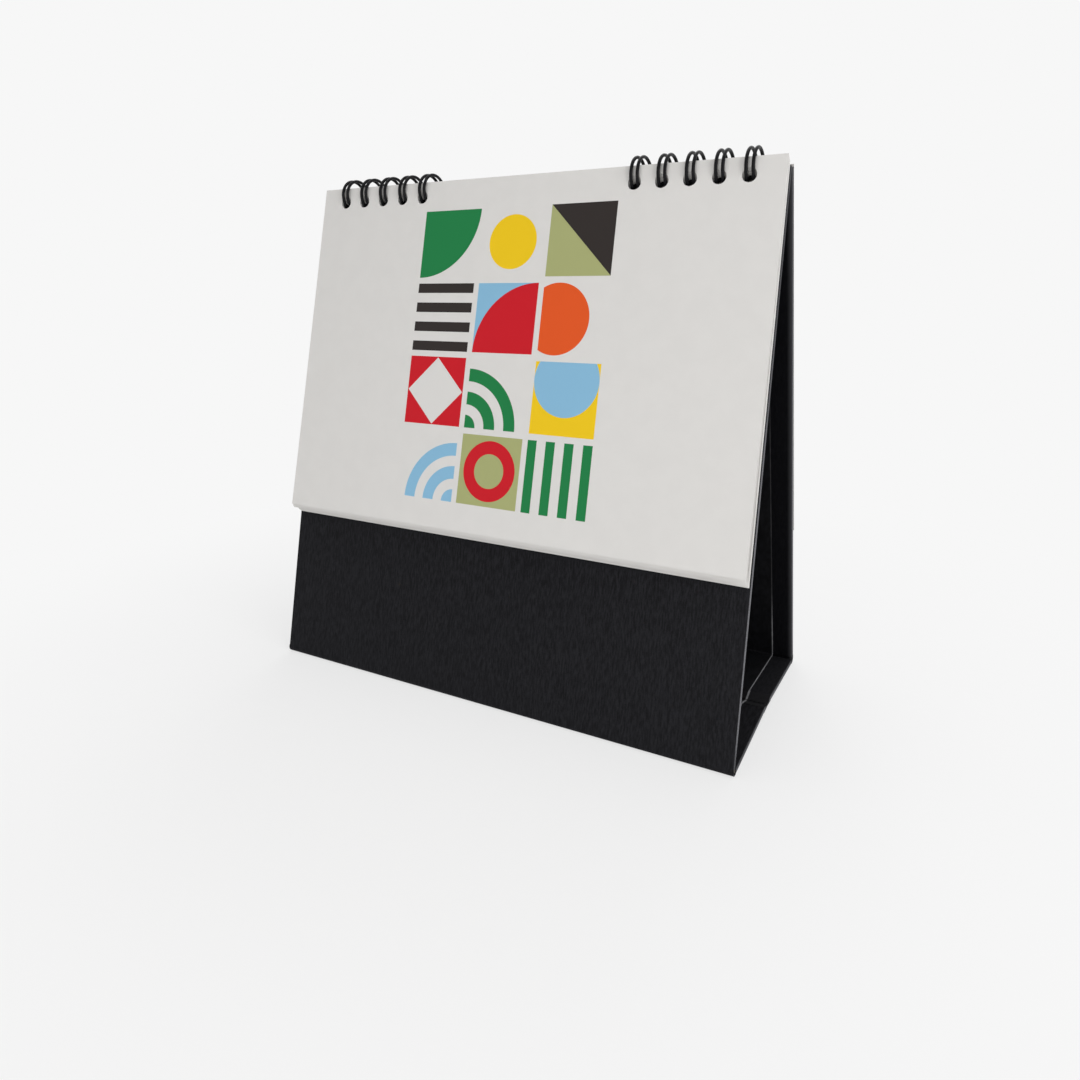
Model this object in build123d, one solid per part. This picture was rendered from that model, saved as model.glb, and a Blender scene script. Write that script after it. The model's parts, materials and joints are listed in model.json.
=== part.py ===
from build123d import *
import math
import os

# A tent-shaped desk calendar. Four covered boards make the stand, and two strips of
# twin-loop wire carry the leaves and both tall boards. +X runs along the loops, -Y is
# the front, +Z is up, and the stand rests on Z = 0 with the loops above its middle.

# Stand sizes, in millimetres and degrees
stand_width = 167.0
panel_length = 164.0
stand_depth = 70.0
base_rise_angle = 3.5
inner_offset = 0.2
board_top_drop = 0.3
fold_gap = 0.6
crease_half_gap = 4.0
crease_clearance = 0.15
foot_flat_depth = 0.12

# Boards and their covering
board_thickness = 1.2
wrap_thickness = 0.2
lining_thickness = 0.3
turn_in = 6.8
top_turn_in = 12.0
wrap_edge_radius = 0.3
board_hole_radius = 1.8

# Wire loops; the binding sits a little to the right of the stand's middle
binding_shift = 0.85
loop_radius = 5.5
wire_diameter = 1.0
loop_pair_spacing = 2.0
loops_per_strip = 5
hole_pitch = 8.467
hole_side_margin = 10.1
root_bend_radius = 1.0
root_offset = 0.62
root_tail = 1.5
tip_gap = 0.45

# Leaves; the block is trimmed at a slight slant, so the cover is its shortest leaf
leaf_side_inset = 1.0
leaf_height = 114.2
trim_slant = 1.2
leaf_thickness = 0.2
leaf_stack_depth = 2.1
first_leaf_gap = 0.36
leaf_hole_radius = 2.1
hole_edge_margin = 5.0
nearest_leaf_sag = -0.3
cover_sag = 0.15
nearest_leaf_lean = 0.33
cover_lean = 1.5

# The leaves from the cover back to the board: the first three hang apart from the rest
leaf_place_shares = (0, 0.2, 0.37, 0.64, 0.77, 0.885, 1)
leaf_lean_shares = (0, 0.06, 0.12, 0.85, 0.9, 0.95, 1)

# How far a cutter runs past the face that it opens
overrun = 1.0

# Worked out from the sizes above
panel_thickness = lining_thickness + board_thickness + wrap_thickness
outer_offset = inner_offset + panel_thickness
half_depth = stand_depth / 2
lean = math.degrees(
    math.asin(half_depth / math.hypot(panel_length, inner_offset))
    - math.atan2(inner_offset, panel_length)
)
lean_sin = math.sin(math.radians(lean))
lean_cos = math.cos(math.radians(lean))
rise_sin = math.sin(math.radians(base_rise_angle))
rise_cos = math.cos(math.radians(base_rise_angle))
fold_z = panel_thickness - foot_flat_depth
loop_z = fold_z + panel_length * lean_cos - inner_offset * lean_sin
crease_reach = (half_depth - panel_thickness * rise_sin) / rise_cos
leaf_width = stand_width - 2 * leaf_side_inset
outer_hole_reach = leaf_width / 2 - hole_side_margin
hole_reaches = [outer_hole_reach - loop * hole_pitch for loop in range(loops_per_strip)]
left_hole_places = [binding_shift - reach for reach in hole_reaches]
right_hole_places = [binding_shift + reach for reach in reversed(hole_reaches)]
hole_places = left_hole_places + right_hole_places
wire_radius = wire_diameter / 2


def slab(width, y_low, y_high, z_low, z_high):
    """A flat box centred on X, between the given limits in Y and Z."""
    middle = Pos(0, (y_low + y_high) / 2, (z_low + z_high) / 2)
    return middle * Box(width, y_high - y_low, z_high - z_low)


def punches(radius, y, z_low, z_high):
    """A round punch for every loop, through the given thickness."""
    length = z_high - z_low + 2 * overrun
    middle_z = (z_low + z_high) / 2
    return [Pos(x, y, middle_z) * Cylinder(radius, length) for x in hole_places]


def wire_depth(offset):
    """How far below the loop axis a wire crosses a sheet at this offset from the axis."""
    return math.sqrt(loop_radius**2 - offset**2)


def covered_panel(inner, y_low, y_high, is_tall):
    """Board, wrap and lining of one panel, flat, with its inner face at the height inner.

    A tall panel has its top edge covered and is punched for the loops; a base panel is
    open at both ends, where the wrap runs on into the next panel.
    """
    board_low = inner + lining_thickness
    board_high = board_low + board_thickness
    board_top = y_high - wrap_thickness if is_tall else y_high
    window_top = y_high - top_turn_in if is_tall else y_high
    board_width = stand_width - 2 * wrap_thickness
    window_width = stand_width - 2 * turn_in
    skin_low = board_low - wrap_thickness
    skin_high = board_high + wrap_thickness
    open_top = board_top if is_tall else y_high + overrun

    board = slab(board_width, y_low, board_top, board_low, board_high)
    lining = slab(window_width, y_low, window_top, inner, board_low)
    wrap = slab(stand_width, y_low, y_high, skin_low, skin_high)
    rounded = wrap.edges().filter_by(Axis.Y)
    if is_tall:
        rounded = rounded + wrap.edges().filter_by(Axis.X).group_by(Axis.Y)[-1]
    wrap = fillet(rounded, wrap_edge_radius)
    wrap -= slab(board_width, y_low - overrun, open_top, board_low, board_high)
    window_limit = window_top if is_tall else y_high + overrun
    wrap -= slab(window_width, y_low - overrun, window_limit, skin_low - overrun, board_low)
    if is_tall:
        hole_y = -wire_depth((board_low + board_high) / 2)
        cutters = punches(board_hole_radius, hole_y, skin_low, skin_high)
        board -= cutters
        wrap -= cutters
    return board, wrap, lining


def fold_strip():
    """The wrap's bend from the front panel's face round the foot to the base's underside."""
    fold = Vector(-half_depth, fold_z)
    face_out = Vector(-lean_cos, lean_sin)
    face_up = Vector(lean_sin, lean_cos)
    base_out = Vector(rise_sin, -rise_cos)
    base_in = Vector(rise_cos, rise_sin)
    bisector = (face_out + base_out).normalized()
    outer = panel_thickness
    inner = panel_thickness - wrap_thickness
    base_run = fold_gap - crease_clearance
    outline = [
        Line(fold + face_out * outer + face_up * fold_gap, fold + face_out * outer),
        ThreePointArc(fold + face_out * outer, fold + bisector * outer, fold + base_out * outer),
        Line(fold + base_out * outer, fold + base_out * outer + base_in * base_run),
        Line(fold + base_out * outer + base_in * base_run, fold + base_out * inner + base_in * base_run),
        Line(fold + base_out * inner + base_in * base_run, fold + base_out * inner),
        ThreePointArc(fold + base_out * inner, fold + bisector * inner, fold + face_out * inner),
        Line(fold + face_out * inner, fold + face_out * inner + face_up * fold_gap),
        Line(fold + face_out * inner + face_up * fold_gap, fold + face_out * outer + face_up * fold_gap),
    ]
    section = Plane.YZ * make_face(outline)
    return extrude(section, amount=stand_width / 2, both=True)


def flat_footed(piece):
    """A piece of the front half, pressed flat where it would reach below the table top."""
    front = -half_depth - 2 * panel_thickness
    return piece - slab(stand_width + 2 * overrun, front, 0, -overrun, 0)


def crease_strip():
    """The wrap's half of the base crease, on the underside of the front base panel."""
    board_end = crease_reach - crease_half_gap
    strip_end = crease_reach - crease_clearance
    return slab(stand_width, -strip_end, -board_end, panel_thickness - wrap_thickness, panel_thickness)


def loop_point(x, angle):
    """A point of a loop; the angle runs from the loop's lowest point up its front."""
    return Vector(x, -loop_radius * math.sin(angle), loop_z - loop_radius * math.cos(angle))


def loop_direction(angle):
    """The way a loop runs at this angle, from the root towards the tip."""
    return Vector(0, -math.cos(angle), math.sin(angle))


root_angle = math.atan2(root_bend_radius, loop_radius) + math.asin(
    root_offset / math.hypot(loop_radius, root_bend_radius)
)
tip_reach = wire_diameter + tip_gap - root_offset
tip_angle = 2 * math.pi - (
    math.atan2(loop_pair_spacing / 2, loop_radius)
    + math.asin(tip_reach / math.hypot(loop_radius, loop_pair_spacing / 2))
)


def loop_arc(x, start, end):
    """One wire of a loop, as four arcs that follow on from each other."""
    step = (end - start) / 4
    edges = []
    for quarter in range(4):
        first = start + quarter * step
        places = [loop_point(x, first + share * step) for share in (0, 0.5, 1)]
        edges.append(ThreePointArc(*places))
    return edges


def root_bend(x, side):
    """The quarter bend between a wire of a loop and the root line beside it, from the line."""
    along = loop_direction(root_angle)
    start = loop_point(x, root_angle)
    side_step = Vector(side * root_bend_radius, 0, 0)
    half_share = math.sqrt(0.5)
    line_end = start - along * root_bend_radius + side_step
    middle = start - along * (root_bend_radius * half_share) + side_step * (1 - half_share)
    return line_end, ThreePointArc(line_end, middle, start)


def tip_bend(x):
    """The half turn that joins the two wires of a loop at its tip."""
    reach = loop_pair_spacing / 2
    left = loop_point(x - reach, tip_angle)
    right = loop_point(x + reach, tip_angle)
    return ThreePointArc(left, loop_point(x, tip_angle) + loop_direction(tip_angle) * reach, right)


def wire_strip(places):
    """One unbroken wire: up a loop, round its tip, back down and along to the next loop."""
    reach = loop_pair_spacing / 2
    tail = Vector(root_tail, 0, 0)
    edges = []
    last_end = None
    for x in places:
        line_end, first_bend = root_bend(x - reach, -1)
        edges.append(Line(last_end if last_end else line_end - tail, line_end))
        edges.append(first_bend)
        edges += loop_arc(x - reach, root_angle, tip_angle)
        edges.append(tip_bend(x))
        edges += loop_arc(x + reach, tip_angle, root_angle)
        last_end, last_bend = root_bend(x + reach, 1)
        edges.append(ThreePointArc(last_bend @ 1, last_bend @ 0.5, last_bend @ 0))
    edges.append(Line(last_end, last_end + tail))
    path = Wire(edges)
    section = Plane(origin=path @ 0, z_dir=path % 0) * Circle(wire_radius)
    print("wire length", round(path.length, 2), "least gap to itself", round(least_gap(path), 3))
    return sweep(section, path=path)


def least_gap(path):
    """The least clear distance between stretches of a wire more than a loop's width apart."""
    near = math.pi * loop_pair_spacing / 2 + wire_diameter
    count = round(path.length / (wire_radius / 2))
    step = path.length / count
    points = [path @ (index / count) for index in range(count + 1)]
    skipped = math.ceil(near / step)
    window = math.ceil(4 * math.pi * loop_radius / step)
    least = math.inf
    for index, point in enumerate(points):
        for other in points[index + skipped:index + window]:
            least = min(least, (other - point).length)
    return least - wire_diameter


def leaf(height, offset, sag, lean_out):
    """A punched leaf on the loops, at its offset from their axis, leaning off the board."""
    hole_y = -wire_depth(offset) - sag
    top = hole_y + hole_edge_margin
    z_low = offset - leaf_thickness / 2
    z_high = offset + leaf_thickness / 2
    sheet = Pos(binding_shift, 0, 0) * slab(leaf_width, top - height, top, z_low, z_high)
    sheet -= punches(leaf_hole_radius, hole_y, z_low, z_high)
    return front_plane(lean + lean_out) * sheet


def front_plane(angle):
    """The plane through the loop axis that leans back by the angle and faces the front."""
    tilt = math.radians(angle)
    return Plane(
        origin=(0, 0, loop_z), x_dir=(1, 0, 0), z_dir=(0, -math.cos(tilt), math.sin(tilt))
    )


base_plane = Plane(origin=(0, -half_depth, fold_z), x_dir=(1, 0, 0), z_dir=(0, rise_sin, -rise_cos))

# The front half of the stand; the rear half is its mirror image
tall_names = ("board", "wrap", "lining")
tall_pieces = covered_panel(inner_offset, fold_gap - panel_length, -board_top_drop, True)
base_pieces = covered_panel(0, crease_half_gap - crease_reach, -fold_gap, False)
halves = {
    f"front_{name}": front_plane(lean) * piece for name, piece in zip(tall_names, tall_pieces)
}
halves["front_fold_strip"] = flat_footed(fold_strip())
halves |= {f"base_front_{name}": base_plane * piece for name, piece in zip(tall_names, base_pieces)}
halves["base_front_wrap"] = flat_footed(halves["base_front_wrap"])
halves["base_front_crease_strip"] = base_plane * crease_strip()

parts = dict(halves)
for name, piece in halves.items():
    rear_name = name.replace("base_front", "base_rear").replace("front", "back")
    parts[rear_name] = mirror(piece, about=Plane.XZ)

parts["wire_left"] = wire_strip(left_hole_places)
parts["wire_right"] = wire_strip(right_hole_places)

# Leaves, counted from the cover back to the board, and one behind the stand
nearest_offset = outer_offset + first_leaf_gap + leaf_thickness / 2
for number, (place_share, lean_share) in enumerate(zip(leaf_place_shares, leaf_lean_shares)):
    height = leaf_height - trim_slant * (1 - place_share)
    offset = nearest_offset + leaf_stack_depth * (1 - place_share)
    sag = cover_sag + (nearest_leaf_sag - cover_sag) * place_share
    lean_out = cover_lean + (nearest_leaf_lean - cover_lean) * lean_share
    name = f"month_leaf_{number}" if number else "cover_leaf"
    parts[name] = leaf(height, offset, sag, lean_out)
nearest_leaf = leaf(leaf_height, nearest_offset, nearest_leaf_sag, nearest_leaf_lean)
parts["back_leaf"] = mirror(nearest_leaf, about=Plane.XZ)

os.makedirs("parts", exist_ok=True)
for name, piece in parts.items():
    export_step(piece, f"parts/{name}.step")
print("lean", round(lean, 4), "loop axis z", round(loop_z, 4))
print("fold z", round(fold_z, 4), "crease reach", round(crease_reach, 4))
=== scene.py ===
import functools
import json
import math
from collections import Counter, namedtuple

import bpy
from mathutils import Color, Matrix, Quaternion, Vector


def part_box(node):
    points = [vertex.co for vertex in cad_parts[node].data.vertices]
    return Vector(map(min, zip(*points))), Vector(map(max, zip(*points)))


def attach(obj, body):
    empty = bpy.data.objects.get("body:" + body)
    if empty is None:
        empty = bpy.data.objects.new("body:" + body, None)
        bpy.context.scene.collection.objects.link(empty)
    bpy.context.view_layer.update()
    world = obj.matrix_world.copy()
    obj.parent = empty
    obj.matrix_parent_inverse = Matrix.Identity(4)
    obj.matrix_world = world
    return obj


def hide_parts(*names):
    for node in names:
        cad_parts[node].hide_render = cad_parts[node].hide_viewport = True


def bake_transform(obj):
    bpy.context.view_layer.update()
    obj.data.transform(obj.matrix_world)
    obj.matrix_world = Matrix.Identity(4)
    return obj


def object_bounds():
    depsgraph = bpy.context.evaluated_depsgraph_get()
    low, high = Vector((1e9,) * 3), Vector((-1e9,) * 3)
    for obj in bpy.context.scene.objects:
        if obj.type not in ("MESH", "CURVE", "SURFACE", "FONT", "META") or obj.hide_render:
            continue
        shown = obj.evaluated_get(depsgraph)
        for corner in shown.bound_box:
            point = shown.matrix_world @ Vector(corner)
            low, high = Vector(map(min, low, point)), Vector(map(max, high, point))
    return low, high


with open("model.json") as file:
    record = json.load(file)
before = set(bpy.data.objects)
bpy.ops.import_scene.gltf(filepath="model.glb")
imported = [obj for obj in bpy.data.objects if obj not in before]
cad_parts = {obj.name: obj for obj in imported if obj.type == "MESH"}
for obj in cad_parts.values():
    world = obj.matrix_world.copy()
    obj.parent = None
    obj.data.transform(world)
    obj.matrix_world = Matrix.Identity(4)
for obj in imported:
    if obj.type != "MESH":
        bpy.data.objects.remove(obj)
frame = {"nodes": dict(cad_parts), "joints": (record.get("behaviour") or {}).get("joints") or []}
cad_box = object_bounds()

# The looks of a tent-shaped desk calendar: paper leaves with a printed cover and number
# pages, a black leatherette stand with soft folds, lining paper and gloss black loops.
# Lengths are in metres and angles in degrees.

# Camera, fitted in the photograph's square frame of this many pixels
photo_pixels = 1080
focal_pixels = 754.0
centre_x_pixels = 598.0
centre_y_pixels = 445.2
camera_place = Vector((0.1318, -0.2147, 0.1297))
camera_yaw = 26.50
camera_pitch = 11.74
camera_roll = -0.20
camera_near = 0.01

# Holes and leaves, as the part has them
loops_per_strip = 5
hole_pitch = 0.008467
hole_side_margin = 0.0101
hole_radius = 0.0021
hole_depth = 0.005
leaf_thickness = 0.0002
month_count = 6

# The stand's covering, as the part has it
wrap_thickness = 0.0002
fold_gap = 0.0006
crease_reach = 0.00385
crease_skin = 0.0005

# The covering's finer details, and how finely its bends are drawn
cove_thickness = 0.00025
lining_edge_width = 0.0004
# Width of the painted highlight along the inner turn-in's edges
turn_in_highlight_width = 0.0018
fold_steps = 24
cove_steps = 8
crease_steps = 10

# Leaf meshes
hole_cell_sides = 6
leaf_step = 0.004
ring_shares = (0.5, 1)
leaf_curl = 0.0004
curl_step_share = 0.06
belly_share = 0.35
sharp_angle = 40

# Number pages: places are measured from the leaf's left and top edges
page_left = 0.016
page_right = 0.149
first_row_drop = 0.047
row_height = 0.0108
number_size = 0.0082
month_size = 0.018
month_place = (0.024, 0.026)
print_height = 0.00002
number_curve_steps = 4
days_in_months = (31, 28, 31, 30, 31, 30, 31, 31, 30, 31, 30, 31)
days_in_week = 7
most_weeks = 6
first_weekday = 3

# The cover's design of square tiles, from the leaf's low left corner
tile_size = 0.024
design_left = 0.0455
design_low = 0.0080

# Colours, as they look
palette = {
    "paper": (220, 218, 215),
    # Painted highlight for the leaves' cut edges
    "paper_edge_highlight": (242, 241, 239),
    "red": (200, 22, 36),
    "green": (26, 122, 66),
    "blue": (135, 184, 214),
    "yellow": (238, 198, 24),
    "olive": (166, 170, 116),
    "orange": (224, 86, 32),
    "dark": (44, 38, 36),
    "rule": (178, 178, 176),
    "leatherette": (23, 23, 25),
    "leatherette_light": (38, 38, 41),
    # Painted shade for the stand's inner faces
    "leatherette_painted_shade": (8, 8, 11),
    # Paler side faces: partly wear, partly a painted highlight
    "leatherette_edge_wear_and_highlight": (116, 116, 120),
    # Painted highlight along the inner turn-in's edges
    "leatherette_painted_highlight": (74, 74, 77),
    "lining": (9, 9, 11),
    "lining_light": (20, 20, 23),
    "lining_edge": (150, 150, 153),
    "wire": (9, 9, 10),
    "greyboard": (150, 145, 136),
    "greyboard_dark": (108, 103, 96),
    "backdrop": (247, 247, 247),
}

across_axis = Vector((1, 0, 0))
front_side = Vector((0, -1, 0))
back_side = Vector((0, 1, 0))
down_side = Vector((0, 0, -1))


def tint(name):
    """A palette colour as the four linear values that a shader takes."""
    red, green, blue = (value / 255 for value in palette[name])
    return (*Color((red, green, blue)).from_srgb_to_scene_linear(), 1)


def shaded(name, share):
    """A palette colour darkened to a share of its light."""
    return tuple(share * value for value in tint(name)[:3]) + (1,)


# Places read from the frame

Face = namedtuple("Face", "top across up out width height")
joint_places = {joint["name"]: Vector(joint["pos_m"]) for joint in frame["joints"]}
facing_share = 0.9
flat_tolerance = 0.000005


def outer_face(node, toward):
    """The outermost flat face of a node on one side: its middle top, its axes and its size."""
    mesh = frame["nodes"][node].data
    facing = [polygon for polygon in mesh.polygons if polygon.normal.dot(toward) > facing_share]
    out = max(facing, key=lambda polygon: polygon.area).normal.copy()
    across = Vector((0, 0, 1)).cross(out).normalized()
    up = out.cross(across)
    points = [mesh.vertices[index].co for polygon in facing for index in polygon.vertices]
    level = max(point.dot(out) for point in points)
    flat = [point for point in points if level - point.dot(out) < flat_tolerance]
    sides = [point.dot(across) for point in flat]
    heights = [point.dot(up) for point in flat]
    middle = across * ((min(sides) + max(sides)) / 2)
    top = out * level + up * max(heights) + middle
    return Face(top, across, up, out, max(sides) - min(sides), max(heights) - min(heights))


def other_side(face):
    """The back of a leaf, seen from behind."""
    return face._replace(top=face.top - face.out * leaf_thickness, across=-face.across, out=-face.out)


# Materials: a count is the number of spots of a noise to the metre

noise_limits = (0.3, 0.7)

# Surfaces: roughness of the smoothest and the dullest spots, sheen, and strength and depth of bumps
Surface = namedtuple("Surface", "smooth dull sheen bump_share bump_depth")
surfaces = {
    "lining": Surface(0.55, 0.72, 0.12, 0.35, 0.00006),
    "greyboard": Surface(0.8, 0.95, 0.5, 0.4, 0.00005),
    "wire": Surface(0.28, 0.4, 0.09, 0.12, 0.00005),
    "ink": Surface(0.5, 0.62, 0.3, 0, 0),
    "paper": Surface(0.6, 0.72, 0.2, 0.3, 0.00002),
    "cut_paper": Surface(0.7, 0.85, 0.2, 0, 0),
}


class Look:
    """A material with short calls for its nodes."""

    def __init__(self, name):
        self.material = bpy.data.materials.new(name)
        self.material.use_nodes = True
        self.tree = self.material.node_tree
        self.shader = self.tree.nodes["Principled BSDF"]

    def feed(self, socket, value):
        if isinstance(value, bpy.types.NodeSocket):
            self.tree.links.new(value, socket)
        else:
            socket.default_value = value

    def add(self, kind, inputs=None, **settings):
        node = self.tree.nodes.new("ShaderNode" + kind)
        for name, value in settings.items():
            setattr(node, name, value)
        for name, value in (inputs or {}).items():
            self.feed(node.inputs[name], value)
        return node

    def math(self, operation, *values):
        node = self.add("Math", operation=operation)
        for socket, value in zip(node.inputs, values):
            self.feed(socket, value)
        return node.outputs[0]

    def product(self, *values):
        return functools.reduce(functools.partial(self.math, "MULTIPLY"), values)

    def weighted(self, start, *pairs):
        """A start value plus each value times its weight."""
        total = start
        for value, weight in pairs:
            total = self.math("MULTIPLY_ADD", value, weight, total)
        return total

    def mix(self, share, first, second):
        """Two colours mixed: a colour mix has its factor at socket 0 and its colours at 6 and 7."""
        node = self.add("Mix", data_type="RGBA")
        for socket, value in zip((node.inputs[0], node.inputs[6], node.inputs[7]), (share, first, second)):
            self.feed(socket, value)
        return node.outputs[2]

    def blend_range(self, value, low, high, new_low=0, new_high=1):
        node = self.add("MapRange", interpolation_type="SMOOTHSTEP")
        for socket, number in zip(node.inputs, (value, low, high, new_low, new_high)):
            self.feed(socket, number)
        return node.outputs[0]

    def vary(self, noise, new_low=0, new_high=1):
        """A noise, mostly within its limits, spread over another range."""
        return self.blend_range(noise, *noise_limits, new_low, new_high)

    def object_place(self, scale=(1, 1, 1)):
        place = self.add("TexCoord").outputs["Object"]
        return self.add("Mapping", {"Vector": place, "Scale": scale}).outputs[0]

    def noise(self, place, scale, detail=3):
        return self.add("TexNoise", {"Vector": place, "Scale": scale, "Detail": detail}).outputs[0]

    def bump(self, height, strength, distance):
        values = {"Height": height, "Strength": strength, "Distance": distance}
        self.set("Normal", self.add("Bump", values).outputs[0])

    def set(self, name, value):
        self.feed(self.shader.inputs[name], value)

    def finish(self, name, noise):
        """The roughness, sheen and bumps of a named surface, uneven by a noise."""
        surface = surfaces[name]
        self.set("Roughness", self.vary(noise, surface.smooth, surface.dull))
        self.set("Specular IOR Level", surface.sheen)
        if surface.bump_depth:
            self.bump(noise, surface.bump_share, surface.bump_depth)


@functools.cache
def leatherette():
    """Black cover sheet with a fine grain drawn out along it. Its side faces are paler, partly wear and
    partly a painted highlight; its inner faces are darkened by painted shade, with a painted highlight
    along the turn-in's edges.
    """
    streak_counts = (2100, 420, 420)
    pore_count = 2600
    patch_count = 28
    streak_share = 0.75
    grain_limits = (0.32, 0.7)
    # Painted shade: how far the inner faces are darkened
    inside_painted_shade_share = 0.7
    # Strength of the painted highlight along the inner turn-in's edges
    turn_in_highlight_share = 0.9
    # Side faces turn paler, partly wear and partly a painted highlight, weaker at the foot and high up
    edge_limits = (0.35, 0.95)
    least_wear_and_highlight_share = 0.6
    foot_heights = (0.003, 0.012)
    foot_wear_and_highlight_shares = (0.35, 1)
    upper_heights = (0.06, 0.14)
    upper_wear_and_highlight_shares = (1, 0.3)
    least_roughness = 0.38
    grain_roughness = 0.2
    patch_roughness = 0.12
    sheen = 0.03
    bump_share = 0.3
    bump_depth = 0.0001

    look = Look("leatherette")
    half_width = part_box("front_wrap")[1].x
    place = look.add("SeparateXYZ", {"Vector": look.object_place()})
    facing = look.add("SeparateXYZ", {"Vector": look.add("TexCoord").outputs["Normal"]})
    height = place.outputs[2]
    streaks = look.noise(look.object_place(streak_counts), 1, detail=4)
    pores = look.noise(look.object_place(), pore_count, detail=2)
    patches = look.noise(look.object_place(), patch_count, detail=2)
    grain = look.weighted(0, (streaks, streak_share), (pores, 1 - streak_share))
    tone = look.mix(look.blend_range(grain, *grain_limits), tint("leatherette"), tint("leatherette_light"))
    inset = look.math("SUBTRACT", half_width, look.math("ABSOLUTE", place.outputs[0]))
    inside = look.math("LESS_THAN", look.product(place.outputs[1], facing.outputs[1]), 0)
    # Painted highlight: a paler band along the inner turn-in's edges
    soft = look.product(inside, look.blend_range(inset, 0, turn_in_highlight_width, turn_in_highlight_share, 0))
    # Painted shade darkens the inner faces
    tone = look.mix(look.product(inside, inside_painted_shade_share), tone, tint("leatherette_painted_shade"))
    tone = look.mix(soft, tone, tint("leatherette_painted_highlight"))
    # Paler side faces: partly wear, partly a painted highlight, weaker at the foot and high up
    edge = look.blend_range(look.math("ABSOLUTE", facing.outputs[0]), *edge_limits)
    foot_wear_and_highlight = look.blend_range(height, *foot_heights, *foot_wear_and_highlight_shares)
    upper_wear_and_highlight = look.blend_range(height, *upper_heights, *upper_wear_and_highlight_shares)
    wear_and_highlight = look.product(edge, look.vary(pores, least_wear_and_highlight_share, 1), foot_wear_and_highlight, upper_wear_and_highlight)
    look.set("Base Color", look.mix(wear_and_highlight, tone, tint("leatherette_edge_wear_and_highlight")))
    rough = look.weighted(least_roughness, (grain, grain_roughness), (patches, patch_roughness))
    look.set("Roughness", rough)
    look.set("Specular IOR Level", sheen)
    look.bump(grain, bump_share, bump_depth)
    return look.material


@functools.cache
def lining_paper():
    """Matt black paper with its pale cut edge along both sides, dimmed higher up by painted shade, and the
    wrap's tone beyond it.
    """
    fibre_counts = (900, 500, 500)
    wander_count = 260
    tone_limits = (0.35, 0.7)
    edge_core_share = 0.5
    wander_limits = (0.25, 0.75)
    least_edge_share = 0.6
    # Painted shade: the pale edge dims between these heights
    edge_shade_heights = (0.008, 0.03)
    edge_shade_shares = (1, 0.13)

    look = Look("lining_paper")
    half_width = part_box("front_lining")[1].x
    place = look.object_place()
    fibres = look.noise(look.object_place(fibre_counts), 1, detail=4)
    wander = look.noise(place, wander_count, detail=2)
    tone = look.mix(look.blend_range(fibres, *tone_limits), tint("lining"), tint("lining_light"))
    split = look.add("SeparateXYZ", {"Vector": place})
    inset = look.math("SUBTRACT", half_width, look.math("ABSOLUTE", split.outputs[0]))
    tone = look.mix(look.math("LESS_THAN", inset, 0), tone, tint("leatherette"))
    edge_core = edge_core_share * lining_edge_width
    near = look.blend_range(look.math("ABSOLUTE", inset), edge_core, lining_edge_width, 1, 0)
    uneven = look.blend_range(wander, *wander_limits, least_edge_share, 1)
    # Painted shade dims the pale edge higher up
    low = look.blend_range(split.outputs[2], *edge_shade_heights, *edge_shade_shares)
    look.set("Base Color", look.mix(look.product(near, uneven, low), tone, tint("lining_edge")))
    look.finish("lining", fibres)
    return look.material


@functools.cache
def greyboard():
    """Grey board with darker flecks."""
    fleck_count = 1500
    look = Look("greyboard")
    flecks = look.noise(look.object_place(), fleck_count, detail=5)
    look.set("Base Color", look.mix(flecks, tint("greyboard_dark"), tint("greyboard")))
    look.finish("greyboard", flecks)
    return look.material


@functools.cache
def coated_wire():
    """Gloss black coating, slightly uneven."""
    drift_count = 700
    look = Look("coated_wire")
    drift = look.noise(look.object_place(), drift_count)
    look.set("Base Color", look.mix(drift, tint("wire"), tint("lining_light")))
    look.finish("wire", drift)
    return look.material


@functools.cache
def ink(name):
    """Printing ink, a little uneven, as matt as the paper."""
    spot_count = 2400
    shade_share = 0.8
    look = Look(f"ink_{name}")
    spots = look.noise(look.object_place(), spot_count)
    look.set("Base Color", look.mix(look.vary(spots), shaded(name, shade_share), tint(name)))
    look.finish("ink", spots)
    return look.material


def paper_base(name, node):
    """Uncoated paper with faint mottling and a fine tooth; also the place on the leaf, in metres."""
    mottle_count = 160
    tooth_count = 5200
    shade_share = 0.98
    look = Look(name)
    face = outer_face(node, front_side)
    uv = look.add("UVMap", uv_map="leaf").outputs[0]
    size = (face.width, face.height, 1)
    place = look.add("Mapping", {"Vector": uv, "Scale": size}).outputs[0]
    mottle = look.noise(place, mottle_count, detail=4)
    tooth = look.noise(place, tooth_count)
    tone = look.mix(look.vary(mottle), shaded("paper", shade_share), tint("paper"))
    look.finish("paper", tooth)
    return look, place, tone


@functools.cache
def plain_paper():
    look, _, tone = paper_base("plain_paper", "cover_leaf")
    look.set("Base Color", tone)
    return look.material


@functools.cache
def cut_paper():
    """The cut edges of the leaves, painted whiter than their faces as a highlight."""
    fibre_count = 3600
    look = Look("cut_paper")
    fibres = look.noise(look.object_place(), fibre_count)
    look.set("Base Color", look.mix(fibres, tint("paper"), tint("paper_edge_highlight")))
    look.finish("cut_paper", fibres)
    return look.material


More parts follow.
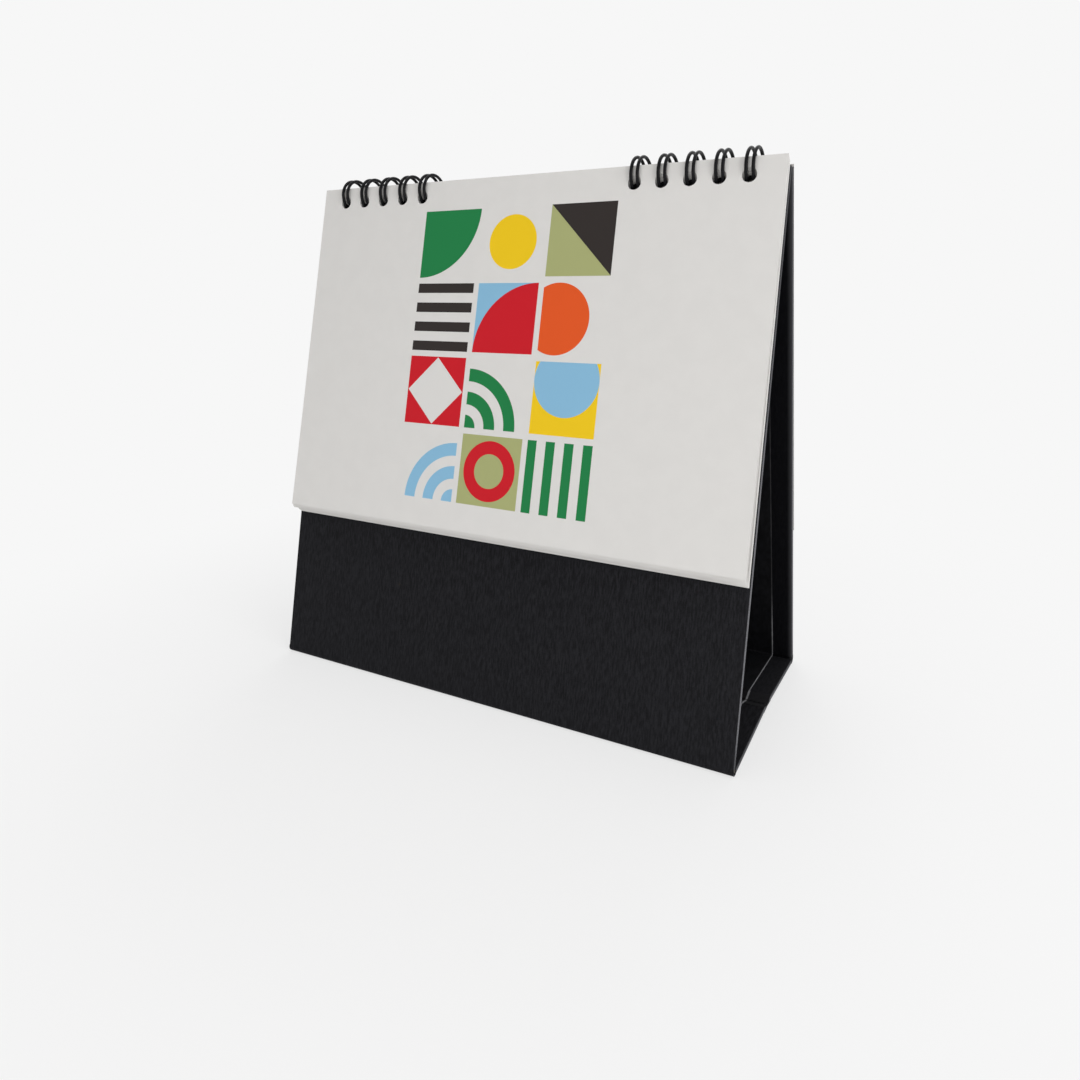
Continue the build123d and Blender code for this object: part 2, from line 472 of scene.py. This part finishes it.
@functools.cache
def month_paper(colour, node):
    """Paper of a number page: a tinted block for the month's number and rules between the weeks."""
    block_share = 0.62
    # Rules are counted in weeks from the one under the first week
    rule_share = 0.025
    first_rule = -1.05
    last_rule = most_weeks - 0.5

    look, place, tone = paper_base(f"month_paper_{colour}", node)
    face = outer_face(node, front_side)
    split = look.add("SeparateXYZ", {"Vector": place})
    from_left = split.outputs[0]
    drop = look.math("SUBTRACT", face.height, split.outputs[1])
    block_x = look.math("ABSOLUTE", look.math("SUBTRACT", from_left, month_place[0]))
    block_y = look.math("ABSOLUTE", look.math("SUBTRACT", drop, month_place[1]))
    block = look.math("LESS_THAN", look.math("MAXIMUM", block_x, block_y), month_size * block_share)
    week = look.math("DIVIDE", look.math("SUBTRACT", drop, first_row_drop + row_height / 2), row_height)
    line = look.math("LESS_THAN", look.math("FRACT", week), rule_share)
    below = look.math("GREATER_THAN", week, first_rule)
    above = look.math("LESS_THAN", week, last_rule)
    middle = look.math("ABSOLUTE", look.math("SUBTRACT", from_left, face.width / 2))
    within = look.math("LESS_THAN", middle, (page_right - page_left) / 2 + number_size)
    ruled = look.mix(look.product(line, below, above, within), tone, tint("rule"))
    look.set("Base Color", look.mix(block, ruled, tint(colour)))
    return look.material


# Motifs of the cover's tiles: each gives where it prints, for u and v from -1 to 1

tile_margin_share = 0.92
disc_share = 0.72
ring_share = 0.62
ring_half_width_share = 0.17
diamond_share = 0.9
arc_rate = 1.63
arc_share = 0.55
stripe_rate = 1.9
stripe_share = 0.5


def distance(look, u, v):
    return look.math("SQRT", look.math("ADD", look.product(u, u), look.product(v, v)))


def corner_distance(look, u, v):
    """How far a place is from the low left corner of its tile."""
    return distance(look, look.math("ADD", u, tile_margin_share), look.math("ADD", v, tile_margin_share))


def disc(look, u, v):
    return look.math("LESS_THAN", distance(look, u, v), disc_share)


def ring(look, u, v):
    off_line = look.math("ABSOLUTE", look.math("SUBTRACT", distance(look, u, v), ring_share))
    return look.math("LESS_THAN", off_line, ring_half_width_share)


def quarter(look, u, v):
    return look.math("LESS_THAN", corner_distance(look, u, v), 2 * tile_margin_share)


def arcs(look, u, v):
    far = corner_distance(look, u, v)
    band = look.math("LESS_THAN", look.math("FRACT", look.product(far, arc_rate)), arc_share)
    return look.product(band, look.math("LESS_THAN", far, 2 * tile_margin_share))


def half(look, u, v):
    low_v = look.math("ADD", v, tile_margin_share / 2)
    return look.math("LESS_THAN", distance(look, u, low_v), tile_margin_share)


def stripes(look, u, v):
    count = look.product(look.math("ADD", v, tile_margin_share), stripe_rate)
    return look.math("LESS_THAN", look.math("FRACT", count), stripe_share)


def diamond(look, u, v):
    reach = look.math("ADD", look.math("ABSOLUTE", u), look.math("ABSOLUTE", v))
    return look.math("LESS_THAN", reach, diamond_share)


def wedge(look, u, v):
    return look.math("LESS_THAN", look.math("ADD", u, v), 0)


# Column, row from the bottom, ground colour, motif, its colour and its quarter turns
cover_tiles = (
    (0, 3, None, quarter, "green", 1),
    (1, 3, None, disc, "yellow", 0),
    (2, 3, "olive", wedge, "dark", 2),
    (0, 2, None, stripes, "dark", 0),
    (1, 2, "blue", quarter, "red", 3),
    (2, 2, None, half, "orange", 1),
    (0, 1, "red", diamond, "paper", 0),
    (1, 1, None, arcs, "green", 0),
    (2, 1, "yellow", half, "blue", 2),
    (0, 0, None, arcs, "blue", 3),
    (1, 0, "olive", ring, "red", 0),
    (2, 0, None, stripes, "green", 1),
)


@functools.cache
def cover_paper():
    """The cover: a block of plain geometric tiles in flat colours."""
    look, place, colour = paper_base("cover_paper", "cover_leaf")
    split = look.add("SeparateXYZ", {"Vector": place})
    tile_numbers = []
    tile_places = []
    for output, start in zip(split.outputs, (design_left, design_low)):
        count = look.math("DIVIDE", look.math("SUBTRACT", output, start), tile_size)
        tile_numbers.append(look.math("FLOOR", count))
        tile_places.append(look.math("MULTIPLY_ADD", look.math("FRACT", count), 2, -1))
    u, v = tile_places
    minus_u = look.product(u, -1)
    minus_v = look.product(v, -1)
    turned = ((u, v), (minus_v, u), (minus_u, minus_v), (v, minus_u))
    reach = look.math("MAXIMUM", look.math("ABSOLUTE", u), look.math("ABSOLUTE", v))
    inside = look.math("LESS_THAN", reach, tile_margin_share)
    for column, row, ground, motif, colour_name, turns in cover_tiles:
        in_column = look.math("COMPARE", tile_numbers[0], column, 0.5)
        in_row = look.math("COMPARE", tile_numbers[1], row, 0.5)
        here = look.product(in_column, in_row, inside)
        if ground:
            colour = look.mix(here, colour, tint(ground))
        printed = look.product(here, motif(look, *turned[turns]))
        colour = look.mix(printed, colour, tint(colour_name))
    look.set("Base Color", colour)
    return look.material


# Meshes


def add_object(name, mesh):
    thing = bpy.data.objects.new(name, mesh)
    bpy.context.scene.collection.objects.link(thing)
    return thing


def finished_mesh(name, points, faces, materials, indices):
    """A mesh with smooth faces and sharp corners, and a material for each face."""
    mesh = bpy.data.meshes.new(name)
    mesh.from_pydata(points, [], faces)
    for material in materials:
        mesh.materials.append(material)
    mesh.polygons.foreach_set("material_index", indices)
    mesh.shade_smooth()
    mesh.set_sharp_from_angle(angle=math.radians(sharp_angle))
    mesh.update()
    return mesh


def spread(start, end, step):
    """Even places after start, up to end, about a step apart."""
    count = max(1, round(abs(end - start) / step))
    return [start + (end - start) * (index + 1) / count for index in range(count)]


@functools.cache
def punched_grid(width, height):
    """Points and quads of a flat leaf with round holes; x from its middle, y down from its top."""
    first = width / 2 - hole_side_margin
    left = [loop * hole_pitch - first for loop in range(loops_per_strip)]
    right = [-x for x in reversed(left)]
    sides = hole_cell_sides
    columns = [-width / 2]
    hole_starts = {}
    for strip in (left, right):
        columns += spread(columns[-1], strip[0] - hole_pitch / 2, leaf_step)
        for x in strip:
            hole_starts[len(columns) - 1] = x
            columns += spread(columns[-1], x + hole_pitch / 2, hole_pitch / sides)
    columns += spread(columns[-1], width / 2, leaf_step)
    cell_low = -hole_depth - hole_pitch / 2
    rows = [0] + spread(0, cell_low, -cell_low / sides) + spread(cell_low, -height, leaf_step)
    points = []
    known = {}

    def corner(column, row):
        if (column, row) not in known:
            known[column, row] = len(points)
            points.append(Vector((columns[column], rows[row])))
        return known[column, row]

    punched = {start + step for start in hole_starts for step in range(sides)}
    quads = []
    for row in range(len(rows) - 1):
        for column in range(len(columns) - 1):
            if row >= sides or column not in punched:
                low = (corner(column, row + 1), corner(column + 1, row + 1))
                quads.append((*low, corner(column + 1, row), corner(column, row)))
    for start, x in hole_starts.items():
        outline = [(start, step) for step in range(sides)]
        outline += [(start + step, sides) for step in range(sides)]
        outline += [(start + sides, sides - step) for step in range(sides)]
        outline += [(start + sides - step, 0) for step in range(sides)]
        outer = [corner(*place) for place in outline]
        centre = Vector((x, -hole_depth))
        levels = [outer]
        for share in ring_shares:
            level = []
            for index in outer:
                rim = centre + (points[index] - centre).normalized() * hole_radius
                level.append(len(points))
                points.append(points[index].lerp(rim, share))
            levels.append(level)
        for outside, inside in zip(levels, levels[1:]):
            for step in range(len(outside)):
                after = (step + 1) % len(outside)
                quads.append((outside[step], outside[after], inside[after], inside[step]))
    return points, quads


def lift(face, x, y, curl):
    """How far a curled leaf stands off its flat face."""
    side_share = 2 * x / face.width
    drop_share = -y / face.height
    return curl * drop_share**2 * (belly_share + (1 - belly_share) * side_share**2)


def leaf_point(face, x, y, curl, height=0):
    return face.top + face.across * x + face.up * y + face.out * (lift(face, x, y, curl) + height)


def open_edges(quads):
    """The edges that only one face has, each in that face's direction."""
    edges = [(quad[step - 1], quad[step]) for quad in quads for step in range(len(quad))]
    counts = Counter(frozenset(edge) for edge in edges)
    return [edge for edge in edges if counts[frozenset(edge)] == 1]


def make_leaf(node, body, face, curl, front, back):
    """A punched paper leaf in place of a flat one, with a look for each side."""
    flat, quads = punched_grid(round(face.width, 6), round(face.height, 6))
    count = len(flat)
    points = [leaf_point(face, x, y, curl) for x, y in flat]
    points += [leaf_point(face, x, y, curl, -leaf_thickness) for x, y in flat]
    behind = [tuple(count + index for index in reversed(quad)) for quad in quads]
    rim = [(end, start, start + count, end + count) for start, end in open_edges(quads)]
    indices = [0] * len(quads) + [1] * len(behind) + [2] * len(rim)
    looks = (front, back, cut_paper())
    mesh = finished_mesh(node, points, quads + behind + rim, looks, indices)
    layer = mesh.uv_layers.new(name="leaf")
    for polygon in mesh.polygons:
        for loop in polygon.loop_indices:
            index = mesh.loops[loop].vertex_index
            x, y = flat[index % count]
            across = x if polygon.material_index == 0 else -x
            layer.data[loop].uv = (across / face.width + 0.5, y / face.height + 1)
    leaf = add_object(f"{node}_paper", mesh)
    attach(leaf, body)
    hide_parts(node)


@functools.cache
def number_form(number, size):
    """Points and faces of a plain number as a thin print, centred on its place."""
    text = bpy.data.curves.new("number", "FONT")
    text.body = str(number)
    text.align_x = "CENTER"
    text.align_y = "CENTER"
    text.size = size
    text.extrude = print_height / 2
    text.resolution_u = number_curve_steps
    holder = bpy.data.objects.new("number", text)
    mesh = bpy.data.meshes.new_from_object(holder)
    points = [vertex.co.copy() for vertex in mesh.vertices]
    faces = [tuple(polygon.vertices) for polygon in mesh.polygons]
    bpy.data.objects.remove(holder)
    bpy.data.curves.remove(text)
    bpy.data.meshes.remove(mesh)
    return points, faces


def add_numbers(name, body, face, curl, month):
    """The printed numbers of one page: the month's number and a grid of its days."""
    points = []
    faces = []
    indices = []

    def stamp(number, size, from_left, drop, index):
        shape, shape_faces = number_form(number, size)
        start = len(points)
        for place in shape:
            x = from_left - face.width / 2 + place.x
            y = place.y - drop
            points.append(leaf_point(face, x, y, curl, place.z + print_height / 2))
        faces.extend(tuple(start + step for step in shape_face) for shape_face in shape_faces)
        indices.extend([index] * len(shape_faces))

    stamp(month, month_size, *month_place, 2)
    start = (first_weekday + sum(days_in_months[:month - 1])) % days_in_week
    column_width = (page_right - page_left) / (days_in_week - 1)
    for day in range(1, days_in_months[month - 1] + 1):
        row, column = divmod(start + day - 1, days_in_week)
        is_last = column == days_in_week - 1
        drop = first_row_drop + row * row_height
        stamp(day, number_size, page_left + column * column_width, drop, int(is_last))
    looks = (ink("dark"), ink("red"), ink("paper"))
    numbers = add_object(name, finished_mesh(name, points, faces, looks, indices))
    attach(numbers, body)


def strip(name, outer, inner, half_width, looks):
    """A closed strip along X between two lines of points, with a look for each side."""
    count = len(outer)
    points = []
    for x in (-half_width, half_width):
        points += [point + across_axis * x for point in (*outer, *inner)]
    left_outer, left_inner, right_outer, right_inner = (step * count for step in range(4))
    faces = []
    indices = []

    def quad(index, *corners):
        faces.append(corners)
        indices.append(index)

    for step in range(count - 1):
        after = step + 1
        quad(0, left_outer + step, right_outer + step, right_outer + after, left_outer + after)
        quad(1, left_inner + after, right_inner + after, right_inner + step, left_inner + step)
        quad(0, left_inner + step, left_outer + step, left_outer + after, left_inner + after)
        quad(0, right_outer + step, right_inner + step, right_inner + after, right_outer + after)
    end = count - 1
    quad(0, left_inner, right_inner, right_outer, left_outer)
    quad(0, left_outer + end, right_outer + end, right_inner + end, left_inner + end)
    return add_object(name, finished_mesh(name, points, faces, looks, indices))


def fold_line(fold, tall, base, radius):
    """The wrap's line from a tall panel's face round the fold to the base's underside."""
    bend = tall.out.angle(base.out)
    axis = tall.out.cross(base.out).normalized()
    turns = [Quaternion(axis, bend * step / fold_steps) for step in range(fold_steps + 1)]
    arc = [turn @ tall.out * radius for turn in turns]
    line = [arc[0] + tall.up * fold_gap, *arc, arc[-1] + base.up * fold_gap]
    return [fold + point for point in line]


def cove_line(fold, tall, base, depth):
    """The lining's line in the corner inside a fold, this far out from the inner faces."""
    first = tall.up * fold_gap + tall.out * depth
    corner = (tall.out + base.out) * depth
    last = base.up * fold_gap + base.out * depth
    line = []
    for step in range(cove_steps + 1):
        share = step / cove_steps
        line.append(fold + first.lerp(corner, share).lerp(corner.lerp(last, share), share))
    return line


def add_fold(side, fold, tall, base):
    """The soft wrap and lining where a tall panel and the base meet, curved round the fold."""
    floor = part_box("front_fold_strip")[0].z
    half_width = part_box("front_fold_strip")[1].x
    outer_radius = (tall.top - fold).dot(tall.out)
    outer = fold_line(fold, tall, base, outer_radius)
    for point in outer:
        point.z = max(point.z, floor)
    inner = fold_line(fold, tall, base, outer_radius - wrap_thickness)
    skin = strip(f"{side}_fold_wrap", outer, inner, half_width, (leatherette(), leatherette()))
    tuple(outer[1])
    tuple(outer[-2])
    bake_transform(skin)
    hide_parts(f"{side}_fold_strip")
    near = cove_line(fold, tall, base, 0)
    far = cove_line(fold, tall, base, cove_thickness)
    lining_half_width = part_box("front_lining")[1].x
    cove = strip(f"{side}_fold_lining", far, near, lining_half_width, (lining_paper(), lining_paper()))
    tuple(near[0])
    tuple(near[-1])
    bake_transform(cove)


def add_crease(body, base, panel_thickness):
    """Half of the base's middle crease: the wrap below, and the lining dipping to it above."""
    lower = []
    upper = []
    for step in range(crease_steps + 1):
        share = step / crease_steps
        ease = share * share * (3 - 2 * share)
        height = panel_thickness + (crease_skin - panel_thickness) * ease
        place = base.top + base.up * (crease_reach * share)
        lower.append(place)
        upper.append(place - base.out * height)
    half_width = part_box(f"{body}_crease_strip")[1].x
    crease = strip(f"{body}_crease", lower, upper, half_width, (leatherette(), lining_paper()))
    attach(crease, body)
    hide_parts(f"{body}_crease_strip")


def dress_nodes():
    """Finishes on the CAD pieces that keep their own shape."""
    finishes = {"board": greyboard, "wrap": leatherette, "lining": lining_paper}
    for name, node in frame["nodes"].items():
        kind = "wire" if name.startswith("wire") else name.rsplit("_", 1)[1]
        finish = coated_wire if kind == "wire" else finishes.get(kind)
        if finish:
            node.data.materials.clear()
            node.data.materials.append(finish())


def add_leaves():
    cover = outer_face("cover_leaf", front_side)
    curl = leaf_curl * (1 + month_count * curl_step_share)
    make_leaf("cover_leaf", "cover", cover, curl, cover_paper(), plain_paper())
    block_colours = ("red", "green", "blue", "olive", "orange", "dark")
    for number in range(1, month_count + 1):
        node = f"month_leaf_{number}"
        body = f"month_{number}"
        face = outer_face(node, front_side)
        curl = leaf_curl * (1 + (month_count - number) * curl_step_share)
        paper = month_paper(block_colours[number - 1], node)
        make_leaf(node, body, face, curl, paper, paper)
        add_numbers(f"{body}_front_numbers", body, face, curl, 2 * number - 1)
        add_numbers(f"{body}_back_numbers", body, other_side(face), -curl, 2 * number)
    rear = outer_face("back_leaf", back_side)
    last = month_paper(block_colours[-1], f"month_leaf_{month_count}")
    make_leaf("back_leaf", "back_sheet", rear, leaf_curl, last, plain_paper())
    add_numbers("back_leaf_numbers", "back_sheet", rear, leaf_curl, len(days_in_months))


def add_stand_folds():
    front = outer_face("front_wrap", front_side)
    rear = outer_face("back_wrap", back_side)
    base_front = outer_face("base_front_wrap", down_side)
    base_rear = outer_face("base_rear_wrap", down_side)
    front_fold = joint_places["base_front_fold"]
    rear_fold = joint_places["base_rear_fold"]
    add_fold("front", front_fold, front, base_front)
    add_fold("back", rear_fold, rear, base_rear)
    panel_thickness = (front.top - front_fold).dot(front.out)
    add_crease("base_front", base_front, panel_thickness)
    add_crease("base_rear", base_rear, panel_thickness)


# Stage

floor_size = 4.0
floor_fleck_count = 90
floor_shade_share = 0.985
floor_roughness = 0.8
floor_sheen = 0.1

# The floor turns plain between these distances from the object's middle
plain_from = 0.1
plain_to = 0.26
near_plain_share = 0.7

ambient_strength = 0.5

# Each lamp: its place, its width and its power in watts
lamps = {
    "key_lamp": ((0.75, -0.3, 0.28), 0.5, 3.1),
    "fill_lamp": ((0.03, -0.45, 0.02), 0.12, 0.42),
    "rear_lamp": ((-0.2, 0.8, 0.8), 0.7, 2.8),
    "top_lamp": ((0.1, 0.1, 1.1), 0.9, 3.0),
}


def seen_ray(tree):
    """1 for what the camera, a reflection or a clear material sees, and 0 for lighting."""
    path = tree.nodes.new("ShaderNodeLightPath")
    total = None
    for name in ("Is Camera Ray", "Is Glossy Ray", "Is Transmission Ray"):
        if total is None:
            total = path.outputs[name]
            continue
        adder = tree.nodes.new("ShaderNodeMath")
        adder.operation = "MAXIMUM"
        tree.links.new(total, adder.inputs[0])
        tree.links.new(path.outputs[name], adder.inputs[1])
        total = adder.outputs[0]
    return total


def add_floor():
    """A pale floor that takes the shadow near the object and is plain further out."""
    mesh = bpy.data.meshes.new("floor")
    half = floor_size / 2
    level = cad_box[0].z
    corners = ((-half, -half), (half, -half), (half, half), (-half, half))
    mesh.from_pydata([(x, y, level) for x, y in corners], [], [(0, 1, 2, 3)])
    look = Look("floor")
    place = look.object_place()
    far = look.add("VectorMath", {0: place}, operation="LENGTH").outputs["Value"]
    plain = look.blend_range(far, plain_from, plain_to, near_plain_share, 1)
    share = look.product(plain, seen_ray(look.tree))
    flecks = look.noise(place, floor_fleck_count)
    look.set("Base Color", look.mix(flecks, shaded("backdrop", floor_shade_share), tint("backdrop")))
    look.set("Roughness", floor_roughness)
    look.set("Specular IOR Level", floor_sheen)
    glow = look.add("Emission", {"Color": tint("backdrop")})
    blend = look.add("MixShader", {0: share, 1: look.shader.outputs[0], 2: glow.outputs[0]})
    look.tree.links.new(blend.outputs[0], look.tree.nodes["Material Output"].inputs["Surface"])
    mesh.materials.append(look.material)
    add_object("floor", mesh)


def add_light():
    world = bpy.data.worlds.new("studio")
    bpy.context.scene.world = world
    world.use_nodes = True
    tree = world.node_tree
    glow = tree.nodes["Background"]
    glow.inputs["Color"].default_value = tint("backdrop")
    strength = tree.nodes.new("ShaderNodeMapRange")
    strength.inputs["To Min"].default_value = ambient_strength
    strength.inputs["To Max"].default_value = 1
    tree.links.new(seen_ray(tree), strength.inputs["Value"])
    tree.links.new(strength.outputs[0], glow.inputs["Strength"])
    middle = (cad_box[0] + cad_box[1]) / 2
    for name, (place, size, power) in lamps.items():
        lamp = bpy.data.lights.new(name, "AREA")
        lamp.shape = "SQUARE"
        lamp.size = size
        lamp.energy = power
        holder = add_object(name, lamp)
        holder.location = place
        holder.rotation_euler = (middle - Vector(place)).to_track_quat("-Z", "Y").to_euler()


def add_camera():
    yaw, pitch, roll = (math.radians(angle) for angle in (camera_yaw, camera_pitch, camera_roll))
    level = math.cos(pitch)
    forward = Vector((-math.sin(yaw) * level, math.cos(yaw) * level, -math.sin(pitch)))
    right = Vector((math.cos(yaw), math.sin(yaw), 0))
    up = right.cross(forward)
    turned_right = right * math.cos(roll) + up * math.sin(roll)
    turned_up = up * math.cos(roll) - right * math.sin(roll)
    data = bpy.data.cameras.new("camera")
    data.lens = data.sensor_width * focal_pixels / photo_pixels
    data.shift_x = (photo_pixels / 2 - centre_x_pixels) / photo_pixels
    data.shift_y = (centre_y_pixels - photo_pixels / 2) / photo_pixels
    data.clip_start = camera_near
    camera = add_object("camera", data)
    rotation = Matrix((turned_right, turned_up, -forward)).transposed()
    camera.matrix_world = Matrix.Translation(camera_place) @ rotation.to_4x4()
    bpy.context.scene.camera = camera


add_camera()
add_light()
add_floor()
dress_nodes()
add_leaves()
add_stand_folds()
bpy.context.scene.view_settings.view_transform = "Standard"

bpy.context.view_layer.update()
